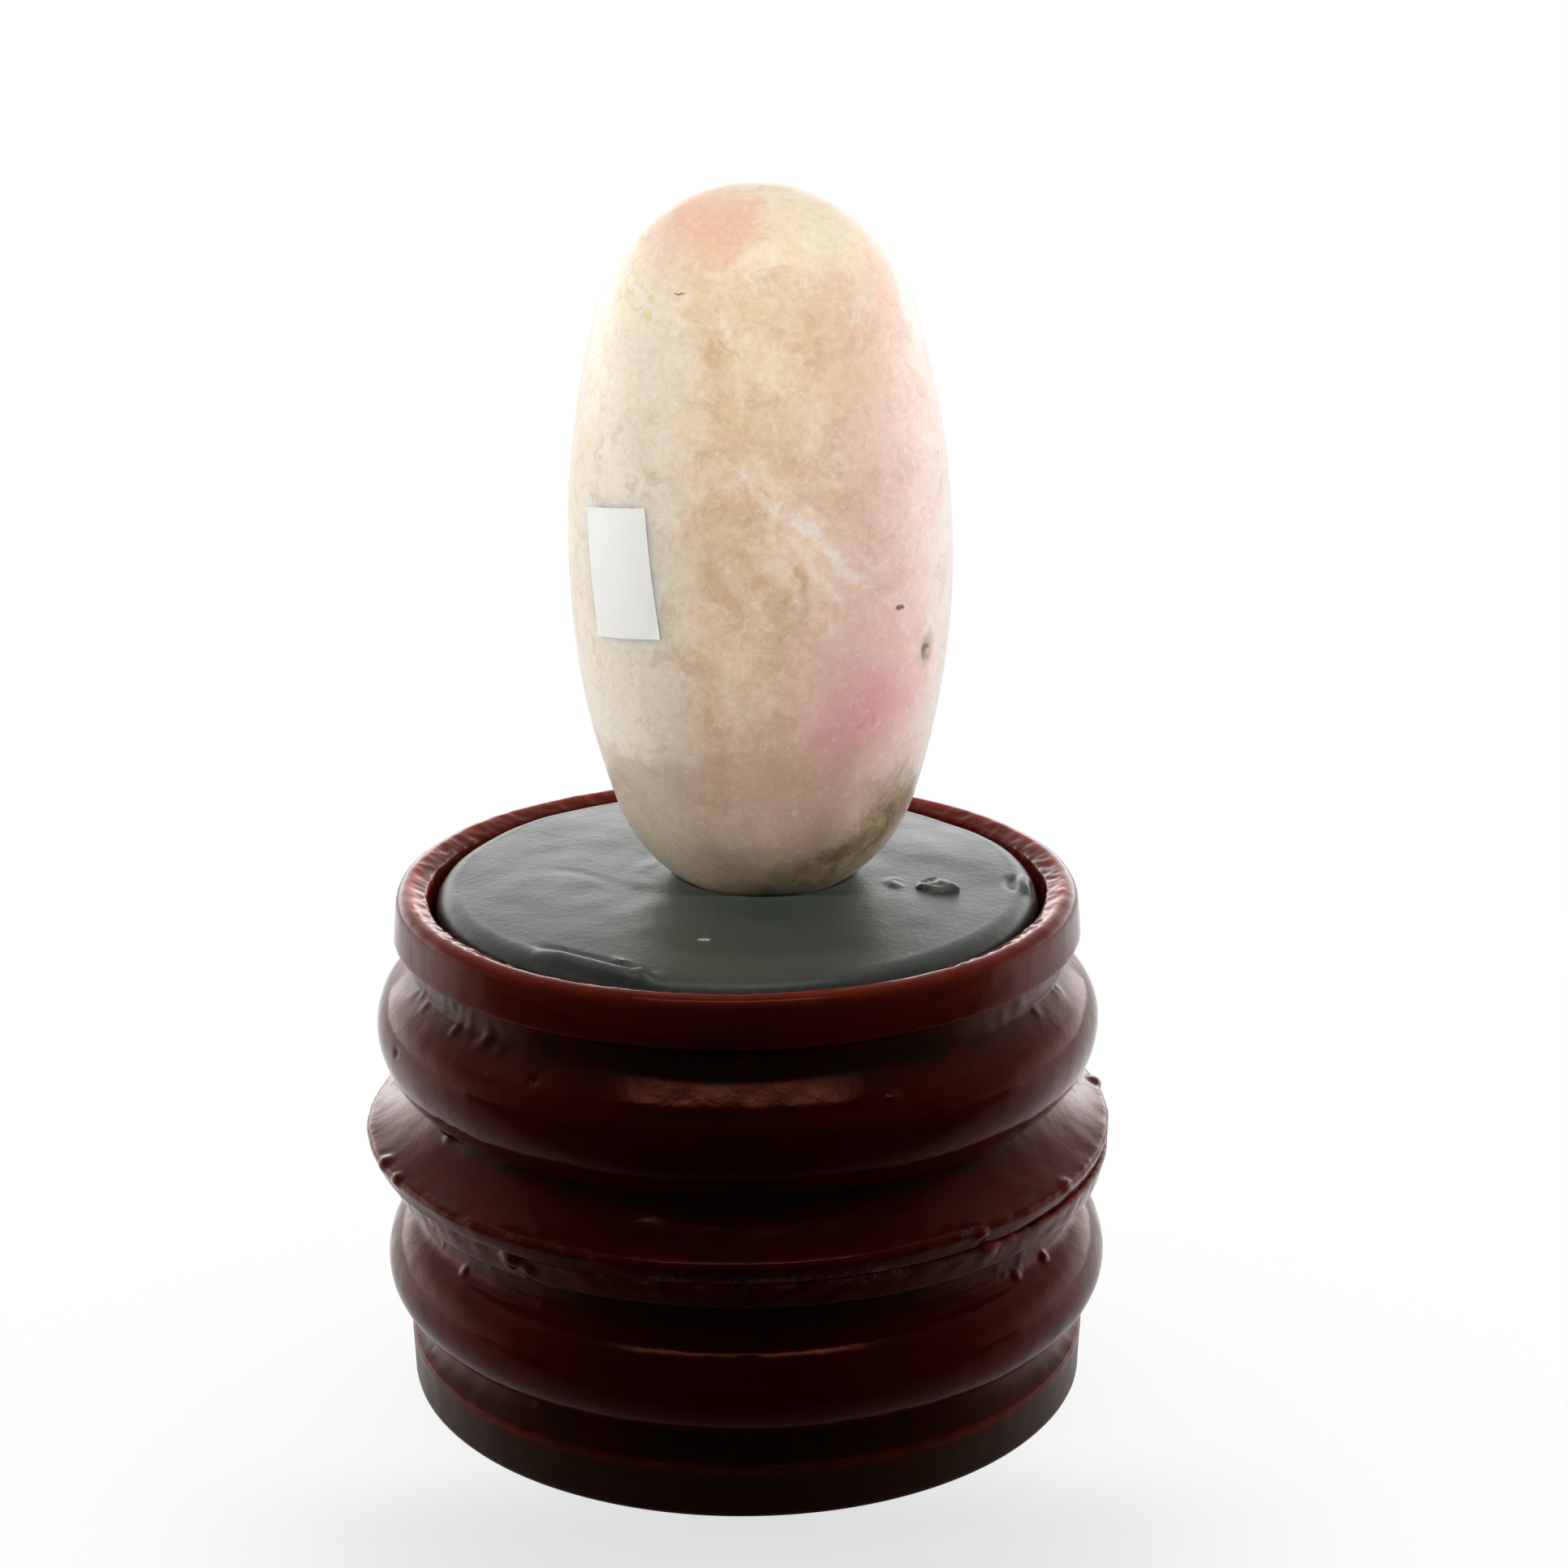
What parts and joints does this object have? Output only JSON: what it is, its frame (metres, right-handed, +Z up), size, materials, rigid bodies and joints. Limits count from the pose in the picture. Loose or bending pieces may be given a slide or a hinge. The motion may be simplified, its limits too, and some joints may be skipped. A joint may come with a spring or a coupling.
{
  "type": "lingam stone on stand",
  "caption": "Upright polished oval stone with a blank paper label, seated in a putty pad in the cup of a two-tier turned and lacquered round stand; the stone lifts off.",
  "frame": {"origin": "floor level under the upper turning's axis, the middle of the part's footprint", "axes": "+Z up along the stone, -Y towards the viewer of the picture, +X to the viewer's right"},
  "size_m": [0.1006, 0.1006, 0.1619],
  "materials": {
    "polished_stone": "satin",
    "label_paper": "matte",
    "grey_putty": "matte",
    "red_lacquer": "gloss",
    "dried_glue": "satin"
  },
  "bodies": {
    "stand": {"lower_stand": "red_lacquer", "upper_stand": "red_lacquer", "glue_film": "dried_glue", "putty_pad": "grey_putty", "putty_crumb": "grey_putty"},
    "stone": {"lingam_stone": "polished_stone", "paper_label": "label_paper"}
  },
  "joints": [
    {"name": "stone_lift", "type": "slide", "parent": "stand", "child": "stone", "axis": [0, 0, 1], "range_m": [0, 0.06]}
  ]
}
